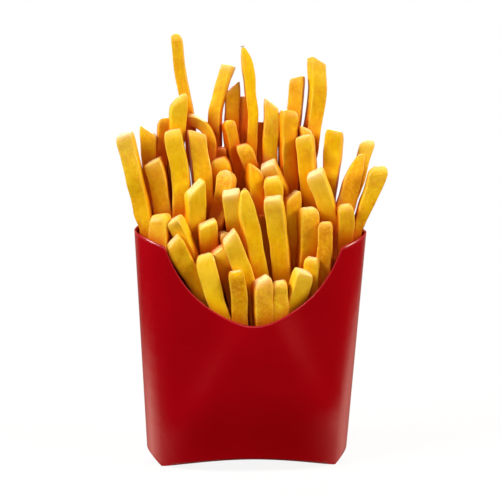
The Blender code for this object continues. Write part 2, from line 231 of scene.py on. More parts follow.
def front_rim(across):
    """Height of the front's rim: a deep scoop between two short sloping wings."""
    across = abs(across)
    wing_inner = CORNER_HEIGHT - WING_DROP
    if across >= WING_END:
        return blend(wing_inner, CORNER_HEIGHT, (across - WING_END) / (1 - WING_END))
    reach = across / WING_END
    curve = SCOOP_SHARE_OF_CURVE * reach ** SCOOP_CURVE_POWER
    end = (1 - SCOOP_SHARE_OF_CURVE) * reach ** SCOOP_END_POWER
    scoop_depth = SCOOP_DROP - WING_DROP
    return wing_inner - scoop_depth * (1 - curve - end)


def back_rim(across):
    """Height of the back's rim, a low arch from corner to corner."""
    return CORNER_HEIGHT + BACK_RISE * (1 - across * across)


def lower_edge(across):
    """Height of the lower edge: an arch between two feet, whose outer ends are cut off."""
    across = abs(across)
    if across < FOOT_INNER_END:
        return ARCH_RISE * (1 - (across / FOOT_INNER_END) ** 2)
    if across <= FOOT_OUTER_END:
        return 0
    return CORNER_CUT * (across - FOOT_OUTER_END) / (1 - FOOT_OUTER_END)


def belly(x, z):
    """How far the panel stands out, with soft shoulders along the two diagonals."""
    below = BELLY_TOP - z - abs(x - BELLY_MIDDLE) * BELLY_FALL
    inside = below / math.hypot(1, BELLY_FALL)
    return BELLY_HEIGHT * (1 + math.tanh(inside / BELLY_SHOULDER)) / 2 * smooth(z / BELLY_FOOT)


def wave(x, z, side):
    """Slight unevenness of the board, not the same on the two panels."""
    spot = Vector((x / WAVE_LENGTH, side * OTHER_PANEL_SHIFT, z / WAVE_LENGTH * WAVE_FLATNESS))
    return WAVE_HEIGHT * noise.noise(spot)


def column_fraction(step):
    """Fraction of the half width, with a column right on each corner of the outline."""
    share = abs(step) / QUARTER_COLUMNS
    marks = ((0, 0), (WING_COLUMN, WING_END), (FOOT_INNER_COLUMN, FOOT_INNER_END),
             (FOOT_OUTER_COLUMN, FOOT_OUTER_END))
    for (start, low), (end, high) in zip(marks, marks[1:]):
        if share <= end:
            return math.copysign(blend(low, high, (share - start) / (end - start)), step)
    rest = (share - FOOT_OUTER_COLUMN) / (1 - FOOT_OUTER_COLUMN)
    return math.copysign(blend(FOOT_OUTER_END, 1, 1 - (1 - rest) ** 2), step)


carton_middle = Vector(((carton_low.x + carton_high.x) / 2,
                        carton_high.y - half_depth(0, carton_high.z), 0))


def wall_sheet():
    """The panels as one open sheet that runs once round the carton."""
    sheet = bmesh.new()
    bmesh.ops.create_grid(sheet, x_segments=4 * QUARTER_COLUMNS, y_segments=WALL_ROWS, size=1)
    for vert in sheet.verts:
        step = round(vert.co.x * 2 * QUARTER_COLUMNS)
        up = (vert.co.y + 1) / 2
        on_front = abs(step) <= QUARTER_COLUMNS
        if not on_front:
            step = int(math.copysign(2 * QUARTER_COLUMNS - abs(step), step))
        across = column_fraction(step)
        rim = front_rim(across) if on_front else back_rim(across)
        z = blend(lower_edge(across), rim, up)
        side = -1 if on_front else 1
        x = across * half_width(z)
        swell = belly(x, z) + wave(x, z, side) * min(1, up * WAVE_GROWTH)
        swell *= 1 - across ** SIDE_FADE_POWER
        vert.co = (x, side * (half_depth(across, z) + swell), z)
    return sheet


def add_floor_sheet(sheet):
    """The bottom flap, straight from the front panel's lower edge to the back panel's."""
    floor = bmesh.ops.create_grid(sheet, x_segments=2 * QUARTER_COLUMNS,
                                  y_segments=FLOOR_ROWS, size=1)
    for vert in floor["verts"]:
        across = column_fraction(round(vert.co.x * QUARTER_COLUMNS))
        z = lower_edge(across)
        vert.co = (across * half_width(z), vert.co.y * half_depth(across, z), z)


def mark_folds(sheet):
    """How near a point is to a fold or a cut edge, for the print's wear."""
    worn = sheet.verts.layers.float.new("worn")
    for vert in sheet.verts:
        x, y, z = vert.co
        across = abs(x) / half_width(z)
        rim = front_rim(min(across, 1)) if y < 0 else back_rim(across)
        to_edge = min(rim - z, z - lower_edge(min(across, 1)), (1 - across) * CORNER_HALF_WIDTH)
        vert[worn] = math.exp(-max(to_edge, 0) / WEAR_WIDTH)


def red_board_finish():
    """Gloss-varnished red print: even colour, faint fibres, and paler, matt, worn folds."""
    board = Finish(bpy.data.materials.new("red_board"))
    place = board.place()
    cloud = board.grain(place, CLOUD_LENGTH, detail=3)
    fibres = board.grain(place, FIBRE_LENGTH, detail=4, roughness=0.65)
    rubbed = board.grain(place, SCUFF_LENGTH, detail=5, roughness=0.7)
    scuffs = board.step(rubbed, 0.62, 0.80)
    dents = board.grain(place, DENT_LENGTH, detail=2)
    worn = board.attribute("worn")
    wear = (worn * (0.25 + scuffs * 0.75)).clamped()
    colour = board.mix(board.step(cloud, 0.3, 0.7) * 0.55, RED_BOARD, DEEP_RED_BOARD)
    colour = board.mix((fibres - 0.5) * 0.25 + 0.08, colour, DEEP_RED_BOARD)
    colour = board.mix(wear * 0.55, colour, WORN_RED_BOARD)
    roughness = 0.16 + (fibres - 0.5) * 0.08 + scuffs * 0.05 + wear * 0.60
    relief = board.bump(fibres, 0.00006, 0.35)
    relief = board.bump(dents, 0.0002, 0.25, below=relief)
    return board.feed(Base_Color=colour, Roughness=roughness, Normal=relief,
                      Specular_IOR_Level=0.5)


def cut_board_finish():
    """The cut edge: matt fibres without varnish, a little darker than the print."""
    edge = Finish(bpy.data.materials.new("cut_board"))
    speckle = edge.grain(edge.place(), CUT_FIBRE_LENGTH, detail=3)
    colour = edge.mix(edge.step(speckle, 0.35, 0.7), CUT_BOARD, WORN_RED_BOARD)
    return edge.feed(Base_Color=colour, Roughness=0.75, Specular_IOR_Level=0.2)


def finished_piece(name, shape, slot, *materials):
    """Turn a bmesh into a piece that stands in its place and moves with the carton."""
    mesh = bpy.data.meshes.new(name)
    shape.to_mesh(mesh)
    shape.free()
    mesh.shade_smooth()
    for material in materials:
        mesh.materials.append(material)
    piece = bpy.data.objects.new(name, mesh)
    bpy.context.scene.collection.objects.link(piece)
    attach(piece, "root")
    return piece


board_sheet = wall_sheet()
add_floor_sheet(board_sheet)
bmesh.ops.remove_doubles(board_sheet, verts=board_sheet.verts, dist=WELD_DISTANCE)
bmesh.ops.dissolve_degenerate(board_sheet, edges=board_sheet.edges, dist=WELD_DISTANCE)
bmesh.ops.recalc_face_normals(board_sheet, faces=board_sheet.faces)
lowest_face = min(board_sheet.faces, key=lambda face: face.calc_center_median().z)
if lowest_face.normal.z > 0:
    bmesh.ops.reverse_faces(board_sheet, faces=board_sheet.faces)
mark_folds(board_sheet)
bmesh.ops.translate(board_sheet, verts=board_sheet.verts, vec=carton_middle)
carton = finished_piece("carton_board", board_sheet, "red_board",
                        red_board_finish(), cut_board_finish())
carton.data.set_sharp_from_angle(angle=FOLD_ANGLE)
board = carton.modifiers.new("board", 'SOLIDIFY')
board.thickness = BOARD_THICKNESS
board.offset = -1
board.use_even_offset = True
board.material_offset_rim = 1
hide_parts("carton")


# The fries
# Square sticks of potato, 7 to 8 mm thick, fried golden: crisp ridges along their cut edges, pale
# partly in their crust and partly as painted highlight, slightly full faces with a fine blistered
# grain, and cut, slanted or pointed ends.
# They stand crowded in the carton, short ones along the scoop and long ones up the back.
MM = 0.001
CLEARANCE = 0.0003

# The fries stand in a core of packed ones, whose top falls from the back panel to below the
# scoop, and go down into it by their roots
CORE_BACK_LEVEL = 0.097
CORE_FRONT_DROP = 0.012
CORE_SIDE_END = 0.95
FRY_ROOT = 0.007
ROOT_STEP = 0.05

# The heap is laid out as it looks from this point in front of and above the carton
VIEWPOINT = Vector((-0.037, -0.491, 0.178))

# In millimetres as seen from the viewpoint against the plane y = 0: tip x, tip z, lower x,
# lower z, lower depth, lean back, width, slant, end size, bow; then, each from 0 to 9, the
# tone from pale yellow to brown, how pale the cut end is, and how grainy the crust is
STRONGEST_LOOK = 9
FRONT_FRIES = (
    (-19.5, 89.7, -13.2, 66.0, -16, -1, 7.8, 0.10, 0.75, -0.5, 1, 2, 1),
    (-14.2, 92.0, -9.0, 78.8, -8, -2, 7.2, 0.20, 0.80, 0.3, 3, 2, 1),
    (-9.5, 97.6, 0.3, 70.7, -12, -2, 7.4, 0.50, 0.85, 0.4, 2, 4, 1),
    (-6.3, 82.4, -3.8, 61.1, -17, -1, 6.8, 0.00, 0.80, 0.3, 6, 0, 8),
    (4.8, 79.2, 6.1, 61.1, -17, 0, 8.0, 0.40, 0.80, 0.0, 5, 5, 6),
    (12.7, 78.2, 13.6, 62.0, -17, -1, 6.8, 0.10, 0.70, 0.2, 4, 3, 7),
    (22.5, 82.5, 19.0, 67.7, -16, 0, 8.0, -0.10, 0.85, 0.0, 2, 3, 1),
    (26.0, 88.1, 27.0, 74.2, -11, -1, 6.3, -0.20, 0.80, 0.2, 4, 1, 1),
    (-11.8, 99.2, -9.6, 90.0, -5, -1, 5.1, 0.00, 0.70, 0.0, 3, 5, 5),
    (-32.8, 95.6, -16.9, 69.8, -15, 1, 8.0, 0.40, 0.80, -0.8, 5, 1, 5),
    (-37.8, 106.7, -37.8, 97.3, -8, -1, 8.2, 0.15, 0.75, 0.0, 4, 2, 6),
    (-32.6, 104.4, -26.4, 91.9, -9, -2, 6.8, 0.10, 0.85, 0.3, 3, 2, 2),
    (31.4, 103.7, 31.7, 84.4, -9, 0, 6.4, 0.00, 0.70, 0.4, 8, 1, 6),
    (39.9, 111.2, 40.1, 98.1, -3, -1, 6.6, 0.10, 0.70, 0.0, 4, 2, 2),
)
MIDDLE_FRIES = (
    (-23.8, 118.2, -23.2, 100.8, -3, -1, 8.0, 0.90, 0.90, 0.0, 2, 1, 1),
    (-18.6, 103.2, -18.0, 91.4, -6, -2, 8.0, 0.35, 0.90, 0.0, 3, 1, 1),
    (-2.6, 117.7, 3.9, 81.6, -5, -3, 7.6, 0.00, 0.30, -0.6, 1, 2, 3),
    (8.9, 114.0, 14.1, 79.9, -5, -2, 8.0, 0.00, 0.90, 0.2, 3, 4, 3),
    (4.2, 106.5, 7.5, 87.2, 0, 0, 5.1, 0.00, 0.80, 0.0, 7, 0, 2),
    (24.0, 109.6, 23.9, 87.3, -3, -1, 8.1, 0.00, 0.75, 0.5, 4, 2, 7),
    (-53.2, 140.3, -45.2, 104.5, 3, 2, 7.0, 0.10, 0.85, 0.4, 3, 8, 5),
    (-10.2, 125.0, -14.2, 103.4, 3, 1, 7.6, -0.20, 0.55, 0.6, 6, 3, 9),
    (-8.6, 116.4, -6.7, 101.7, 1, -5, 8.0, 0.05, 0.90, 0.0, 3, 6, 2),
    (8.5, 122.4, 9.3, 112.0, 4, -2, 8.4, 0.00, 0.70, 0.3, 4, 1, 1),
    (16.7, 115.3, 16.9, 103.6, 2, 0, 7.0, 0.60, 0.90, 0.0, 4, 1, 2),
    (26.7, 125.0, 33.2, 105.8, 4, -7, 8.0, 0.10, 0.90, 0.2, 2, 7, 2),
    (53.7, 127.8, 46.4, 101.0, 1, 1, 8.0, 0.30, 0.55, 0.4, 3, 3, 6),
)
BACK_FRIES = (
    (-33.1, 141.8, -29.2, 104.6, 8, 2, 7.8, 0.00, 0.85, 1.2, 3, 2, 3),
    (-23.5, 141.0, -19.5, 108.0, 8, 2, 8.5, -0.45, 0.90, 0.3, 4, 3, 3),
    (-41.3, 129.0, -36.6, 107.9, 7, 1, 8.0, 0.15, 0.88, 0.6, 6, 2, 4),
    (-14.0, 130.4, -11.2, 114.0, 10, -1, 8.5, -0.15, 0.70, 1.0, 6, 1, 3),
    (1.2, 126.6, 2.4, 108.0, 8, 0, 6.8, -0.70, 0.90, 0.0, 5, 0, 1),
    (6.5, 128.4, 12.0, 116.3, 9, -5, 7.6, 0.05, 0.90, 0.0, 5, 6, 1),
    (21.5, 140.0, 26.2, 106.6, 9, 1, 7.5, 0.05, 0.90, 0.3, 4, 2, 1),
    (34.5, 142.4, 32.0, 113.0, 9, 2, 7.3, -0.10, 0.90, -0.2, 4, 0, 2),
    (45.6, 132.8, 39.6, 111.0, 7, 1, 8.0, 0.60, 0.35, 0.0, 6, 1, 5),
    (-30.2, 155.8, -31.4, 138.0, 13, 3, 6.8, 0.80, 0.60, 0.0, 3, 2, 3),
    (-36.7, 146.7, -37.5, 132.0, 13, 3, 5.5, 0.20, 0.60, 0.0, 8, 0, 3),
    (-43.0, 141.8, -42.1, 125.0, 10, 2, 6.8, -0.75, 0.90, 0.0, 5, 1, 3),
    (-27.6, 146.6, -17.6, 130.0, 14, 2, 4.6, 0.00, 0.80, 5.0, 4, 5, 4),
    (14.9, 150.6, 15.4, 112.9, 13, 3, 7.2, -0.10, 0.75, -0.2, 6, 1, 2),
    (21.8, 143.5, 23.3, 130.0, 14, 1, 5.4, -0.50, 0.80, 0.0, 4, 3, 2),
    (49.0, 138.6, 42.5, 115.3, 12, 3, 5.9, 0.20, 0.65, 0.3, 2, 7, 4),
    (-4.6, 136.0, 3.0, 118.0, 13, 0, 6.8, -0.20, 0.75, 0.0, 6, 1, 6),
    (-10.0, 146.0, -7.2, 130.0, 15, 1, 5.5, 0.10, 0.60, 0.0, 7, 0, 3),
    (-12.6, 135.0, -12.0, 120.0, 15, -2, 5.0, 0.00, 0.85, 0.0, 5, 4, 2),
    (-32.5, 180.9, -26.9, 146.0, 17, 6, 4.9, 0.00, 0.55, 0.2, 4, 1, 5),
    (-10.4, 168.6, -15.8, 136.0, 17, 6, 5.4, 0.20, 0.95, -1.8, 4, 4, 3),
    (-8.9, 159.6, -8.2, 138.0, 18, 5, 6.8, 0.95, 0.90, -0.2, 5, 1, 2),
    (-4.7, 176.4, -0.3, 136.0, 18, 6, 5.0, 0.00, 0.20, 1.6, 3, 1, 2),
    (-4.0, 155.9, -3.6, 138.0, 19, 4, 4.4, 0.00, 0.80, 0.0, 5, 0, 2),
    (7.6, 153.4, 7.4, 130.0, 17, 4, 7.0, -0.72, 0.90, 0.0, 4, 4, 3),
    (3.0, 145.4, 3.2, 130.0, 18, 3, 4.4, 0.00, 0.85, 0.0, 6, 0, 2),
    (18.3, 164.0, 15.8, 140.0, 18, 5, 6.6, 0.30, 0.90, 0.3, 6, 1, 3),
    (26.4, 171.0, 24.2, 138.0, 17, 6, 7.0, -0.53, 0.95, 0.7, 3, 1, 3),
)

# Further fries behind the others and at the sides, seen mostly from behind, set out by a rule
FURTHER_COUNT = 16
FURTHER_SEED = 11
FURTHER_WIDTH = (6.2, 8.2)
FURTHER_HEIGHT = (2, 20)
FURTHER_SIDE_DROP = 14
FURTHER_LENGTH = 20
FURTHER_HALF_SPREAD = 40
FURTHER_DEPTH = (13, 21)
FURTHER_DRAWN_IN = (0.75, 0.95)
FURTHER_LEAN = (0, 4)
FURTHER_SLANT = (-0.6, 0.6)
FURTHER_END_SIZE = (0.6, 0.9)

# A fry is as thick as it is wide, or a little less. Each is turned about its own length, and
# drawn smaller for it, because a turned bar looks wider from the front.
THINNEST_SHARE = 0.86
TWIST_DEGREES = 24
TURNED_SIZE = 0.95

# Fries that cross are slid apart in small steps, each tested at a few points along it, and none
# may lean too much. The carton's depth is too small for all of them, so many still pass through
# each other, most of them low in the heap. Above the rim they have more and more room, and
# inside the carton their crust ends a little short of the side folds.
SETTLE_ROUNDS = 60
SETTLE_SAMPLES = 9
SETTLE_STEP = 0.3
SETTLE_TIGHTNESS = 0.92
TIE_BREAK = 0.000001
LEAN_LIMIT = 0.16
LEAN_OUT = 0.45
CRUST_SIDE_END = 0.97

# Rings along a fry, of which the first few round its tip, and squares across one of its faces
FRY_RINGS = 46
TIP_RINGS = 6
FRY_FACE_SQUARES = 10
AIM_SHARE = 0.02

# The section is a square with tight corners, whose points crowd towards them. Its ridges are
# whole where a point reaches so far both ways, and its faces are slightly full.
SQUARENESS = 15
CROWDING = 0.9 * math.pi
RIDGE_REACH = 0.475
RIDGE_POWER = 9
FACE_FULLNESS = 0.035
FULLNESS_POWER = 4

# A tip narrows over a length given in widths of the fry, its cut face slopes and swells a
# little, and its rim is rounded, more so on a pointed one
POINTED_END = 0.5
FULL_END = 0.85
BLUNT_TIP_LENGTH = 0.45
POINTED_TIP_LENGTH = 1.8
END_SLOPE = 0.16
END_DOME = 0.0008
END_ROUNDING = 0.0007
POINTED_ROUNDING = 0.25

# Frying leaves each fry uneven in size, slightly wavy and lumpy. Every fry reads its own part
# of the noise, which lies one shift further on than that of the fry before it.
SIZE_CHANGE = 0.11
SIZE_CHANGE_LENGTH = 0.016
SIZE_CHANGE_SHIFT = 3.7
WOBBLE = 0.0007
WOBBLE_LENGTH = 0.013
WOBBLE_SHIFT = 2.9
WOBBLE_ROWS = (7, 14)
LUMP_HEIGHT = 0.00032
LUMP_LENGTH = 0.0065
LUMP_SHIFT = Vector((0.11, 0.07, 0))
GRAIN_SHIFT = (0.021, 0, 0.013)

# Painted shade: the tone deepens from the tip down, as the heap shades the fries lower in it. The
# cut face is pale, and so is the crust near it, much on its rim and faintly beyond; this paleness
# is partly the potato's own and partly painted highlight from the light above.
PAINTED_DEPTH_SHADE = 0.24
DEEPER_START = 0.004
DEEPER_LENGTH = 0.030
CUT_FACE_PALENESS = (0.50, 0.95)
PALE_AND_LIT_RIM = 0.65
PALE_RIM_LENGTH = 0.0015
PALE_AND_LIT_TIP = 0.12
PALE_TIP_LENGTH = 0.010

# Painted shade: the crust is painted deeper in colour where other fries crowd round it, as shade
# falls between them. A point of it counts the other fries' middle points near a spot just outside
# it, and a painted shadow of the board darkens it from a little above the rim down.
AXIS_SPACING = 0.003
PAINTED_SHADE_REACH = 0.004
PAINTED_SHADE_SPREAD = 0.007
OPEN_COVER = 2.2
FULL_COVER = 6.8
RIM_SHADOW_STRENGTH = 0.95
RIM_SHADE = 0.0055
RIM_SHADE_HEIGHT = 1.3 * RIM_SHADE

CRUST_LAYERS = ("tone", "ridge", "tip", "grain", "painted_shade")
PATCH_LENGTH = 0.009
SPOT_LENGTH = 0.0036
MOTTLE_LENGTH = 0.0026
CRUMB_LENGTH = 0.0011
STREAK_WIDTH = 0.0011
STREAK_NARROWNESS = 0.14

PALE_POTATO = (0.93, 0.63, 0.020, 1)
YELLOW_POTATO = (0.88, 0.570, 0.0012, 1)
GOLDEN_POTATO = (0.80, 0.37, 0.0008, 1)
BROWN_POTATO = (0.62, 0.15, 0.0008, 1)
RIDGE_POTATO = (0.93, 0.62, 0.06, 1)
CREAM_POTATO = (0.94, 0.80, 0.52, 1)
DARK_CRUST = (0.42, 0.07, 0.002, 1)
PAINTED_SHADE_POTATO = (0.60, 0.085, 0.001, 1)


class Fry:
    """One fry: a bowed bar from its tip to its lower end, which goes down into the heap."""

    def __init__(self, row, random_draws):
        tip_x, tip_z, low_x, low_z, low_depth, lean, width, slant, end_size, bow = row[:10]
        self.tone, self.pale_tip, self.grain = (value / STRONGEST_LOOK for value in row[10:])
        self.tip = np.array((tip_x, tip_z)) * MM
        self.low = np.array((low_x, low_z)) * MM
        self.low_depth = low_depth * MM
        self.tip_depth = (low_depth + lean) * MM
        self.width = width * MM
        self.thickness = self.width * random_draws.uniform(THINNEST_SHARE, 1)
        self.slant = slant
        self.end_size = end_size
        self.twist = math.radians(random_draws.uniform(-TWIST_DEGREES, TWIST_DEGREES))
        along = self.low - self.tip
        sideways = np.array((-along[1], along[0])) / np.hypot(*along)
        self.middle = (self.tip + self.low) / 2 + sideways * 2 * bow * MM

    def line_point(self, share):
        """Centre at a share of the way from the tip to the lower end, or straight on past it."""
        past = max(0, share - 1)
        share = min(share, 1)
        rest = 1 - share
        flat = self.tip * rest ** 2 + self.middle * 2 * rest * share + self.low * share ** 2
        flat = flat + (self.low - self.middle) * 2 * past
        return seen(flat[0], flat[1], blend(self.tip_depth, self.low_depth, share + past))

    def point(self, share):
        """Centre as above, pressed in where the line would run into the board."""
        place = self.line_point(share)
        room = depth_room(place, self.width)
        place.y = min(max(place.y, -room), room)
        return place

    def tuck_in(self, shares):
        """Shift the whole fry towards the middle until the board no longer bends it."""
        inward = [self.point(share).y - self.line_point(share).y for share in shares]
        shift = max(inward, key=abs)
        self.tip_depth += shift
        self.low_depth += shift

    def root_share(self):
        """Share of the way at which the fry ends inside the core."""
        share = 1
        while self.point(share).z > core_level(*self.point(share).xy) - FRY_ROOT:
            share += ROOT_STEP
        return share


def seen(x, z, depth):
    """Slide a point of the plane y = 0 along its line of sight to the given depth."""
    stretch = (depth - VIEWPOINT.y) / -VIEWPOINT.y
    return VIEWPOINT + (Vector((x, 0, z)) - VIEWPOINT) * stretch


def depth_room(place, width):
    """How far from the middle plane a fry's centre may lie, more above the rim than below."""
    across = min(abs(place.x) / half_width(place.z), CORE_SIDE_END)
    edge = width / 2 / CORNER_HALF_WIDTH
    rim = front_rim(min(across + edge, 1)) if place.y < 0 else back_rim(max(across - edge, 0))
    inside = half_depth(across, min(place.z, rim)) - BOARD_THICKNESS - CLEARANCE - width / 2
    return inside + LEAN_OUT * max(place.z - rim, 0)


def pressed_in(place):
    """Keep a point of the crust behind the board below the rim, and flat against it there."""
    across = min(abs(place.x) / half_width(place.z), 1)
    rim = front_rim(across) if place.y < 0 else back_rim(across)
    widest = (half_width(min(place.z, rim)) - BOARD_THICKNESS - CLEARANCE) * CRUST_SIDE_END
    spare = LEAN_OUT * max(place.z - rim, 0)
    place.x = min(max(place.x, -widest - spare), widest + spare)
    across = min(abs(place.x) / half_width(place.z), CRUST_SIDE_END)
    inside = half_depth(across, min(place.z, rim)) - BOARD_THICKNESS - CLEARANCE
    place.y = min(max(place.y, -inside - spare), inside + spare)
    return place


def axis_points(fry):
    """Points along the middle of a fry, from its tip to its root."""
    end_share = fry.root_share()
    count = int((fry.point(end_share) - fry.point(0)).length / AXIS_SPACING) + 2
    return np.array([fry.point(share) for share in np.linspace(0, end_share, count)])


def mark_painted_shade(verts, layer, others):
    """Painted shade on each point of a crust, from 0 for open to 1, by how closely fries and board
    surround it.
    """
    spots = np.array([vert.co + vert.normal * PAINTED_SHADE_REACH for vert in verts])
    apart = np.linalg.norm(spots[:, None] - others[None], axis=2)
    cover = np.exp(-(apart / PAINTED_SHADE_SPREAD) ** 2).sum(axis=1)
    for vert, amount in zip(verts, cover):
        across = min(abs(vert.co.x) / CORNER_HALF_WIDTH, 1)
        rim = front_rim(across) if vert.co.y < 0 else back_rim(across)
        # Painted shadow of the carton's rim, strongest below it
        painted_rim_shadow = RIM_SHADOW_STRENGTH * smooth((rim + RIM_SHADE - vert.co.z) / RIM_SHADE_HEIGHT)
        vert[layer] = max(smooth((amount - OPEN_COVER) / (FULL_COVER - OPEN_COVER)), painted_rim_shadow)


def core_level(x, y):
    """Height of the core's top, low behind the scoop and high along the back panel."""
    across = min(abs(x) / CORNER_HALF_WIDTH, 1)
    front = front_rim(across) - CORE_FRONT_DROP
    share = min(max((y / CORNER_HALF_DEPTH + 1) / 2, 0), 1)
    return blend(front, CORE_BACK_LEVEL, share)


def further_rows():
    """Rows like the chosen ones for the fries that fill the back and the sides."""
    draws = random.Random(FURTHER_SEED)
    rows = []
    for index in range(FURTHER_COUNT):
        spread = 2 * (index + 0.5) / FURTHER_COUNT - 1
        x = spread * FURTHER_HALF_SPREAD
        drop = FURTHER_SIDE_DROP * spread * spread
        tip_z = CORNER_HEIGHT / MM + draws.uniform(*FURTHER_HEIGHT) - drop
        low_z = tip_z - FURTHER_LENGTH
        depth = draws.uniform(*FURTHER_DEPTH)
        low_x = x * draws.uniform(*FURTHER_DRAWN_IN)
        lean = draws.uniform(*FURTHER_LEAN)
        width = draws.uniform(*FURTHER_WIDTH)
        slant = draws.uniform(*FURTHER_SLANT)
        end_size = draws.uniform(*FURTHER_END_SIZE)
        looks = (2 + index % 5, index % 4 * 2, 2 + index % 3)
        rows.append((x, tip_z, low_x, low_z, depth, lean, width, slant, end_size, 0) + looks)
    return rows


def settle(fries):
    """Slide the fries apart along the line of sight, so that the picture stays the same."""
    shares = np.linspace(0, 1, SETTLE_SAMPLES)
    owner = np.repeat(np.arange(len(fries)), SETTLE_SAMPLES)
    depths = np.array([blend(fry.tip_depth, fry.low_depth, s) for fry in fries for s in shares])
    # Of two fries at one depth, the later one counts as further back
    depths = depths + owner * TIE_BREAK
    behind = np.sign(depths[:, None] - depths[None, :])
    radius = np.array([(fry.width + fry.thickness) / 4 for fry in fries])[owner]
    needed = (radius[:, None] + radius[None, :]) * SETTLE_TIGHTNESS
    needed[owner[:, None] == owner[None, :]] = 0
    for _ in range(SETTLE_ROUNDS):
        centres = np.array([fry.point(s) for fry in fries for s in shares])
        apart = np.linalg.norm(centres[:, None] - centres[None, :], axis=2)
        crossing = np.maximum(needed - apart, 0)
        push = (crossing * behind).sum(axis=1).reshape(len(fries), -1)
        hits = np.maximum((crossing > 0).sum(axis=1).reshape(len(fries), -1).max(axis=1), 1)
        tip_push = (push * (1 - shares)).sum(axis=1) / hits * SETTLE_STEP
        low_push = (push * shares).sum(axis=1) / hits * SETTLE_STEP
        for fry, tip_move, low_move in zip(fries, tip_push, low_push):
            fry.low_depth += float(low_move)
            lean = fry.tip_depth + float(tip_move) - fry.low_depth
            limit = LEAN_LIMIT * float(fry.tip[1] - fry.low[1])
            fry.tip_depth = fry.low_depth + min(max(lean, -limit), limit)
            fry.tuck_in(shares)


def bar_mesh():
    """A square bar of unit size, cut into rings along it and into squares at its ends."""
    bar = bmesh.new()
    bmesh.ops.create_cube(bar, size=1)
    for is_long, squares in ((False, FRY_FACE_SQUARES), (True, FRY_RINGS)):
        edges = [edge for edge in bar.edges
                 if (abs(edge.verts[0].co.z - edge.verts[1].co.z) > 0.5) == is_long]
        bmesh.ops.subdivide_edges(bar, edges=edges, cuts=squares - 1, use_grid_fill=True)
    bmesh.ops.recalc_face_normals(bar, faces=bar.faces)
    mesh = bpy.data.meshes.new("bar")
    bar.to_mesh(mesh)
    bar.free()
    return mesh


def ring_distances(length, rounding):
    """How far each ring lies from the tip, with the first rings close round its rim."""
    tip = [rounding * (1 - math.cos(math.radians(90 * ring / TIP_RINGS)))
           for ring in range(TIP_RINGS)]
    rest = np.linspace(rounding, length, FRY_RINGS + 1 - TIP_RINGS)
    return tip + list(rest)


def squared(x, y):
    """Move a point of the unit square onto a bar's section; also how near it is to a ridge."""
    x = math.sin(x * CROWDING) / math.sin(CROWDING / 2) / 2
    y = math.sin(y * CROWDING) / math.sin(CROWDING / 2) / 2
    reach = max(abs(x), abs(y))
    if reach == 0:
        return 0, 0, 0
    round_reach = (abs(x) ** SQUARENESS + abs(y) ** SQUARENESS) ** (1 / SQUARENESS)
    x, y = x * reach / round_reach, y * reach / round_reach
    ridge = (min(abs(x), abs(y)) / RIDGE_REACH) ** RIDGE_POWER
    full_x = x * (1 + FACE_FULLNESS * (1 - 4 * y * y) * (2 * abs(x)) ** FULLNESS_POWER)
    full_y = y * (1 + FACE_FULLNESS * (1 - 4 * x * x) * (2 * abs(y)) ** FULLNESS_POWER)
    return full_x, full_y, min(ridge, 1)


def fry_rings(fry, index):
    """Each ring's centre, three directions, size, and distance from the fry's tip."""
    end_share = fry.root_share()
    length = (fry.point(end_share) - fry.point(0)).length
    pointed = fry.end_size < POINTED_END
    tip_length = fry.width * (POINTED_TIP_LENGTH if pointed else BLUNT_TIP_LENGTH)
    rounding = END_ROUNDING + fry.width * POINTED_ROUNDING * max(0, FULL_END - fry.end_size)
    rings = []
    for distance in ring_distances(length, rounding):
        share = distance / length * end_share
        above = fry.point(max(share - AIM_SHARE, 0))
        upwards = (above - fry.point(share + AIM_SHARE)).normalized()
        sideways = Vector((math.cos(fry.twist), math.sin(fry.twist), 0))
        sideways = (sideways - upwards * sideways.dot(upwards)).normalized()
        backwards = upwards.cross(sideways)
        past_taper = smooth(distance / tip_length * 0.5 + 0.5) * 2 - 1
        size = blend(fry.end_size, 1, past_taper)
        past_rim = min(distance / rounding, 1)
        size -= (1 - math.sqrt(1 - (1 - past_rim) ** 2)) * rounding * 2 / fry.width
        change = noise.noise((distance / SIZE_CHANGE_LENGTH, index * SIZE_CHANGE_SHIFT, 0))
        size *= 1 + SIZE_CHANGE * change
        aside, behind = (noise.noise((distance / WOBBLE_LENGTH, index * WOBBLE_SHIFT, row)) * WOBBLE
                         for row in WOBBLE_ROWS)
        centre = fry.point(share) + sideways * aside + backwards * behind
        rings.append((centre, sideways, backwards, upwards, size, distance))
    return rings


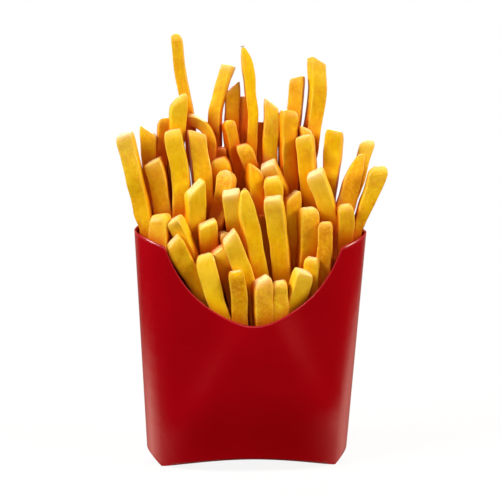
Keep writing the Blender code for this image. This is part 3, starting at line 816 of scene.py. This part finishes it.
def shape_fry(verts, layers, fry, index):
    """Bend a copy of the unit bar into one fry and record what its finish needs."""
    rings = fry_rings(fry, index)
    for vert in verts:
        ring = round((0.5 - vert.co.z) * FRY_RINGS)
        centre, sideways, backwards, upwards, size, distance = rings[ring]
        x, y, ridge = squared(vert.co.x, vert.co.y)
        across = x * fry.width * size * TURNED_SIZE
        through = y * fry.thickness * size * TURNED_SIZE
        slope = fry.slant * across + END_SLOPE * fry.pale_tip * through
        rise = slope * (1 - smooth(distance / fry.width))
        on_end = ring == 0
        if on_end:
            rise += END_DOME * size ** 3 * (1 - 4 * x * x) * (1 - 4 * y * y)
        place = centre + sideways * across + backwards * through + upwards * rise
        outwards = (sideways * across + backwards * through) / fry.width * 2
        lump = noise.noise((place + index * LUMP_SHIFT) / LUMP_LENGTH) * LUMP_HEIGHT
        vert.co = pressed_in(place + outwards * lump)

        # Painted shade: darker further down from the tip
        depth_shade = PAINTED_DEPTH_SHADE * smooth((distance - DEEPER_START) / DEEPER_LENGTH)
        vert[layers["tone"]] = fry.tone + depth_shade
        vert[layers["ridge"]] = max(ridge, math.exp(-distance / END_ROUNDING))
        # Pale cut end and rim: partly the potato's own paleness, partly a painted highlight of the
        # light from above
        end_paleness = on_end * blend(*CUT_FACE_PALENESS, fry.pale_tip)
        pale_and_lit_end = (PALE_AND_LIT_RIM * math.exp(-(distance / PALE_RIM_LENGTH) ** 2)
                    + PALE_AND_LIT_TIP * math.exp(-(distance / PALE_TIP_LENGTH) ** 2))
        vert[layers["tip"]] = max(end_paleness, fry.pale_tip * pale_and_lit_end)
        vert[layers["grain"]] = fry.grain
        own_grain = Vector(GRAIN_SHIFT) * index
        vert[layers["along"]] = Vector((across, through, distance)) + own_grain


def fry_heap(name, fries, first_index, axes, material):
    """Join the fries of one group into one piece."""
    heap = bmesh.new()
    layers = {layer: heap.verts.layers.float.new(layer) for layer in CRUST_LAYERS}
    layers["along"] = heap.verts.layers.float_vector.new("along")
    for index, fry in enumerate(fries, first_index):
        start = len(heap.verts)
        heap.from_mesh(bar)
        heap.verts.ensure_lookup_table()
        shape_fry(heap.verts[start:], layers, fry, index)
    heap.normal_update()
    for order in range(len(fries)):
        start = order * len(bar.vertices)
        own = first_index + order
        others = np.vstack(axes[:own] + axes[own + 1:])
        mark_painted_shade(heap.verts[start:start + len(bar.vertices)], layers["painted_shade"], others)
    bmesh.ops.translate(heap, verts=heap.verts, vec=carton_middle)
    piece = finished_piece(name, heap, "fried_potato", material)
    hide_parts("fries")
    return piece


def potato_finish():
    """Fried potato: golden crust, pale ridges and ends that are partly painted highlight, fine
    grain, a few brown spots and painted shade.
    """
    potato = Finish(bpy.data.materials.new("fried_potato"))
    tone, ridge, tip, grainy, painted_shade = (potato.attribute(name) for name in CRUST_LAYERS)
    along = potato.attribute("along", output="Vector")
    drawn_out = potato.add("VectorMath", {"operation": 'MULTIPLY'},
                           {0: along, 1: (1, 1, STREAK_NARROWNESS)})
    patches = potato.grain(along, PATCH_LENGTH, detail=3)
    streaks = potato.grain(drawn_out, STREAK_WIDTH, detail=3, roughness=0.6)
    mottle = potato.grain(along, MOTTLE_LENGTH, detail=3, roughness=0.6)
    crumb = potato.grain(along, CRUMB_LENGTH, detail=3, roughness=0.65)
    spots = potato.step(potato.grain(along, SPOT_LENGTH, detail=4, roughness=0.7), 0.60, 0.74)

    # The crust runs from pale through yellow and golden to brown, more unevenly on grainy fries
    depth_of_tone = tone + (patches - 0.5) * 0.9 + (streaks - 0.5) * 0.55
    depth_of_tone = depth_of_tone + (mottle - 0.5) * (0.4 + 1.2 * grainy)
    depth_of_tone = (depth_of_tone + (crumb - 0.5) * (0.05 + 1.0 * grainy)).clamped()
    colour = potato.mix(potato.step(depth_of_tone, 0, 0.35), PALE_POTATO, YELLOW_POTATO)
    colour = potato.mix(potato.step(depth_of_tone, 0.25, 0.75), colour, GOLDEN_POTATO)
    colour = potato.mix(potato.step(depth_of_tone, 0.75, 1.30), colour, BROWN_POTATO)

    # On it lie dry specks, the rims of small blisters, pale ridges and ends, spots and pits. The
    # pale ridges and ends are partly the crust's own and partly painted highlight.
    dry_specks = potato.step(crumb, 0.50, 0.62) * grainy
    blister_rims = 1 - potato.step((mottle - 0.46) * (mottle - 0.46), 0, 0.0016)
    pits = potato.step(1 - crumb, 0.52, 0.66)
    colour = potato.mix(dry_specks * 0.5, colour, RIDGE_POTATO)
    colour = potato.mix(blister_rims * (0.08 + 0.45 * grainy), colour, GOLDEN_POTATO)
    # Pale ridges: partly paler crust, partly a painted highlight along the edges
    colour = potato.mix(ridge * potato.step(patches, 0.30, 0.60) * 0.8, colour, RIDGE_POTATO)
    # Cream cut ends: partly the potato's own colour, partly painted highlight
    colour = potato.mix((tip * (0.75 + 0.35 * streaks)).clamped(), colour, CREAM_POTATO)
    colour = potato.mix(spots * (0.02 + 0.25 * tone), colour, BROWN_POTATO)
    colour = potato.mix(pits * (0.02 + 0.30 * grainy), colour, DARK_CRUST)
    # Painted shade where fries crowd together and below the rim
    colour = potato.mix(painted_shade * 0.88, colour, PAINTED_SHADE_POTATO)

    # Oil shines on the ridges and in patches of the faces
    oil = (0.14 + ridge * 0.7) * potato.step(mottle, 0.48, 0.62)
    roughness = 0.34 + (crumb - 0.5) * 0.25 + grainy * 0.15 - ridge * 0.08
    relief = potato.bump(crumb, 0.0004, 0.12)
    relief = potato.bump(streaks, 0.0004, 0.26, below=relief)
    relief = potato.bump(mottle, 0.0010, 0.20, below=relief)
    return potato.feed(Base_Color=colour, Roughness=roughness, Normal=relief,
                       Subsurface_Weight=0.12, Subsurface_Radius=(1.0, 0.32, 0.03),
                       Subsurface_Scale=0.0015, Specular_IOR_Level=0.16,
                       Coat_Weight=oil, Coat_Roughness=0.15)


bar = bar_mesh()
draws = random.Random(FURTHER_SEED)
all_rows = FRONT_FRIES + MIDDLE_FRIES + BACK_FRIES + tuple(further_rows())
all_fries = [Fry(row, draws) for row in all_rows]
settle(all_fries)
fried_potato = potato_finish()
shown = len(FRONT_FRIES) + len(MIDDLE_FRIES)
axes = [axis_points(fry) for fry in all_fries]
fry_heap("front_fries", all_fries[:shown], 0, axes, fried_potato)
fry_heap("back_fries", all_fries[shown:], shown, axes, fried_potato)
bpy.data.meshes.remove(bar)


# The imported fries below
# Under the fries that show, the carton is full of more of the same, pressed together and
# shaded. Only a little of it shows, dark and golden brown, down in the gaps between them.
CORE_INSET = 0.0014
CORE_FLOOR = 0.008
CORE_SQUARES = (48, 20, 12)
CORE_LUMP_HEIGHT = 0.0014
CORE_LUMP_LENGTH = 0.0065
CORE_LUMP_STRETCH = 4
CORE_STREAK_LENGTH = 0.004
SHADED_GOLD = (0.44, 0.065, 0.001, 1)
SHADED_BROWN = (0.24, 0.020, 0.001, 1)


def core_block():
    """Closed block that fills the carton up to the level under the fries."""
    block = bmesh.new()
    bmesh.ops.create_cube(block, size=2)
    for axis, squares in enumerate(CORE_SQUARES):
        edges = [edge for edge in block.edges
                 if abs(edge.verts[0].co[axis] - edge.verts[1].co[axis]) > 1]
        bmesh.ops.subdivide_edges(block, edges=edges, cuts=squares - 1, use_grid_fill=True)
    for vert in block.verts:
        across = vert.co.x * CORE_SIDE_END
        side = vert.co.y
        up = (vert.co.z + 1) / 2
        level = core_level(across * CORNER_HALF_WIDTH, side * CORNER_HALF_DEPTH)
        z = blend(CORE_FLOOR, level, up)
        x = across * (half_width(z) - CORE_INSET)
        y = side * (half_depth(across, z) - CORE_INSET)
        spot = Vector((x, y, z / CORE_LUMP_STRETCH)) / CORE_LUMP_LENGTH
        lump = noise.noise(spot) * CORE_LUMP_HEIGHT * up * up
        vert.co = (x, y, z + lump)
    bmesh.ops.recalc_face_normals(block, faces=block.faces)
    bmesh.ops.translate(block, verts=block.verts, vec=carton_middle)
    return block


def packed_finish():
    """The same crust in deep shade, brown with golden streaks and dull all over."""
    packed = Finish(bpy.data.materials.new("packed_potato"))
    streaks = packed.grain(packed.place(), CORE_STREAK_LENGTH, detail=3)
    colour = packed.mix(packed.step(streaks, 0.35, 0.7), SHADED_BROWN, SHADED_GOLD)
    return packed.feed(Base_Color=colour, Roughness=0.6,
                       Normal=packed.bump(streaks, 0.002, 0.6))


packed_fries = finished_piece("packed_fries", core_block(), "fried_potato", packed_finish())
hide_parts("fries")


# The stage
# A plain white floor that fades out to white, four large soft lights, one soft spot on the
# front rows of fries, and the camera where the photographer's was, a little above the carton
# and to its left.
FLOOR_HALF_SIZE = 3
FADE_START = 0.05
FADE_END = 0.40

LIGHT_AIM = (0, 0, 0.10)
SPOT_AIM = (0, 0, 0.125)
SPOT_PLACE = (-0.20, -0.75, 0.60)
SPOT_POWER = 12
SPOT_WIDTH = math.radians(9)
SPOT_SOFTNESS = 0.10

# The studio is white to the lens and dim to what is lit. In gloss it shows a pale wall at eye
# level and a white table on both sides, whose edge lies lower on the left and in front.
FILL = 0.17
WARM_FILL = (1, 0.50, 0.16, 1)
WARM_GLOSS = (1, 0.70, 0.58, 1)
WHITE = (1, 1, 1, 1)
FRONT_WALL = 0.35
BACK_WALL = 0.32
LEFT_TABLE = 3.6
RIGHT_TABLE = 2.1

VIEW_YAW = math.radians(-4.28)
VIEW_RISE = math.radians(10)
VIEW_ROLL = math.radians(0.966)
VIEW_DISTANCE = 0.500
VIEW_TARGET = Vector((-0.00024, 0, 0.0915))
FOCAL_LENGTH = 85.1
SENSOR_WIDTH = 36

floor_sheet = bmesh.new()
bmesh.ops.create_grid(floor_sheet, x_segments=1, y_segments=1, size=FLOOR_HALF_SIZE)
floor_mesh = bpy.data.meshes.new("floor")
floor_sheet.to_mesh(floor_mesh)
floor_sheet.free()
floor = bpy.data.objects.new("floor", floor_mesh)
bpy.context.scene.collection.objects.link(floor)
floor.visible_glossy = False
floor.visible_diffuse = False

floor_finish = Finish(bpy.data.materials.new("white_floor"))
distance = floor_finish.add("VectorMath", {"operation": 'LENGTH'},
                            {0: floor_finish.place()}, output="Value")
fade = 0.90 + 0.10 * floor_finish.step(distance, FADE_START, FADE_END)
floor_finish.feed(Base_Color=(0.9, 0.9, 0.9, 1), Roughness=0.8, Specular_IOR_Level=0)
glow = floor_finish.add("Emission", {}, {"Color": WHITE, "Strength": 1.0})
matt = Wire(floor_finish.tree, floor_finish.tree.nodes["Principled BSDF"].outputs[0])
faded = floor_finish.add("MixShader", {}, {0: fade, 1: matt, 2: glow})
join(floor_finish.tree, floor_finish.tree.nodes["Material Output"].inputs["Surface"], faded)
floor_mesh.materials.append(floor_finish.owner)


def hang(lamp, place, aim):
    """Hang a lamp at a place and turn it to the point that it lights."""
    light = bpy.data.objects.new(lamp.name, lamp)
    light.location = place
    light.rotation_euler = (Vector(place) - Vector(aim)).to_track_quat('Z', 'Y').to_euler()
    bpy.context.scene.collection.objects.link(light)


def soft_light(name, place, size, power, colour=(1, 1, 1)):
    lamp = bpy.data.lights.new(name, 'AREA')
    lamp.color = colour
    lamp.shape = 'RECTANGLE'
    lamp.size, lamp.size_y = size
    lamp.energy = power
    hang(lamp, place, LIGHT_AIM)


soft_light("left", (-0.80, -0.30, 0.72), (0.45, 0.45), 12.6)
soft_light("right", (0.80, -0.30, 0.60), (0.40, 0.45), 9.4, (1, 0.93, 0.80))
soft_light("front", (-0.10, -0.80, 0.62), (0.40, 0.35), 0.5)
soft_light("back", (0.05, 0.80, 0.50), (0.50, 0.40), 5)

spot = bpy.data.lights.new("fries_spot", 'SPOT')
spot.energy = SPOT_POWER
spot.spot_size = SPOT_WIDTH
spot.spot_blend = 1
spot.shadow_soft_size = SPOT_SOFTNESS
hang(spot, SPOT_PLACE, SPOT_AIM)

studio = Finish(bpy.data.worlds.new("studio"))
bpy.context.scene.world = studio.owner
seen_directly = studio.add("LightPath", {}, {}, output="Is Camera Ray")
in_gloss = studio.add("LightPath", {}, {}, output="Is Glossy Ray")
direction = studio.add("TexCoord", {}, {}, output="Generated")
sideways, backwards, upwards = (studio.add("SeparateXYZ", {}, {0: direction}, output=axis)
                                for axis in "XYZ")
wall = studio.step(upwards, -0.24, -0.08) * studio.step(backwards, -0.97, -0.80) * FRONT_WALL
wall = wall + studio.step(backwards, 0.5, 0.9) * BACK_WALL
on_right = studio.step(sideways, -0.1, 0.1)
table_edge = backwards * (0.11 + 0.06 * on_right) + 0.02 * on_right - upwards
to_the_side = studio.step(backwards, -0.75, 0.25) * (1 - 0.93 * studio.step(backwards, 0.2, 0.9))
shaded_near_carton = 1 - 0.6 * studio.step(-1 * upwards, 0.39, 0.45)
table = studio.step(table_edge, 0.36, 0.40) * to_the_side * shaded_near_carton
table = table * blend(LEFT_TABLE, RIGHT_TABLE, on_right)
brightness = FILL + in_gloss * (wall + table - FILL)
brightness = brightness + seen_directly * (1 - brightness)
tint = studio.mix(in_gloss, WARM_FILL, WARM_GLOSS)
tint = studio.mix(seen_directly, tint, WHITE)
sky = studio.add("Background", {}, {"Color": tint, "Strength": brightness})
join(studio.tree, studio.tree.nodes["World Output"].inputs["Surface"], sky)

back = Vector((math.sin(VIEW_YAW) * math.cos(VIEW_RISE),
               -math.cos(VIEW_YAW) * math.cos(VIEW_RISE), math.sin(VIEW_RISE)))
level_right = (-back).cross(Vector((0, 0, 1))).normalized()
level_up = level_right.cross(-back)
right = level_right * math.cos(VIEW_ROLL) + level_up * math.sin(VIEW_ROLL)
up = level_up * math.cos(VIEW_ROLL) - level_right * math.sin(VIEW_ROLL)
lens = bpy.data.cameras.new("camera")
lens.lens = FOCAL_LENGTH
lens.sensor_width = SENSOR_WIDTH
lens.clip_start = 0.01
camera = bpy.data.objects.new("camera", lens)
eye = VIEW_TARGET + carton_middle + back * VIEW_DISTANCE
camera.matrix_world = Matrix.Translation(eye) @ Matrix((right, up, back)).transposed().to_4x4()
bpy.context.scene.collection.objects.link(camera)
bpy.context.scene.camera = camera
bpy.context.scene.view_settings.view_transform = 'Standard'
